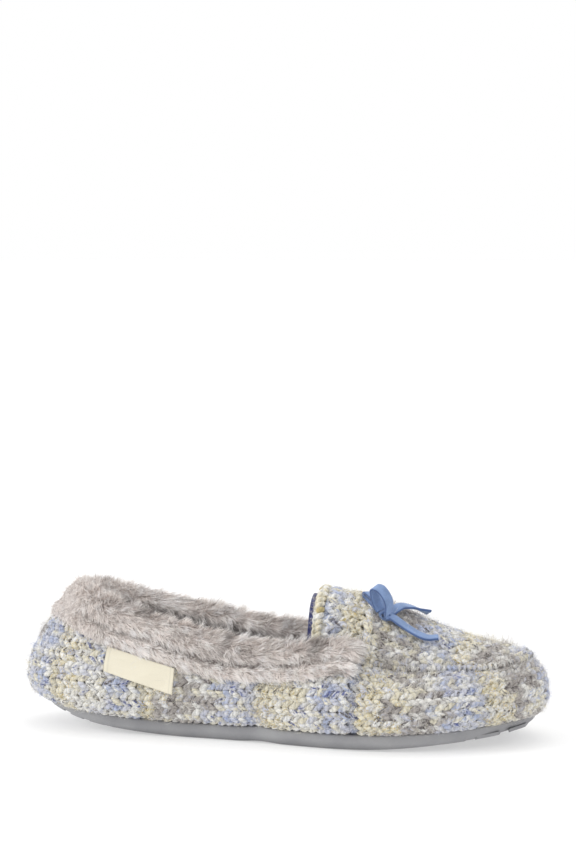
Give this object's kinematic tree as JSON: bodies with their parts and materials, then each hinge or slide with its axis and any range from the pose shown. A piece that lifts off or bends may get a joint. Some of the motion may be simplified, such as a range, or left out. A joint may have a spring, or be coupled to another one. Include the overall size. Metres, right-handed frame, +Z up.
{
  "type": "knitted slipper",
  "caption": "Low knitted moccasin slipper with a moulded sole, padded footbed, faux fur cuff, tongue flap and a flat suede bow.",
  "frame": {"origin": "centre of the shoe's outline seen from above, on the ground under the lugs", "axes": "+X to the toe, +Y to the inner side of the right foot, +Z up"},
  "size_m": [0.2542, 0.0978, 0.0779],
  "materials": {
    "sole_rubber": "matt moulded rubber",
    "footbed": "short brushed lining",
    "knit": "marled chunky knit in cream, white, grey and lavender",
    "binding_knit": "fine rolled knit",
    "navy_lining": "brushed lining cloth",
    "faux_fur": "warm grey faux fur with brown tips",
    "woven_label": "cream woven tape, bare",
    "suede_lace": "blue suede-like flat lace"
  },
  "bodies": {
    "root": {"outsole": "sole_rubber", "insole": "footbed", "upper": "knit", "toe_plug": "knit", "tongue_binding": "binding_knit", "tongue_facing": "navy_lining", "collar_cuff": "faux_fur", "label": "woven_label", "bow_knot": "suede_lace", "bow_loop_near": "suede_lace", "bow_loop_far": "suede_lace", "bow_tail_near": "suede_lace", "bow_tail_far": "suede_lace"}
  },
  "joints": []
}
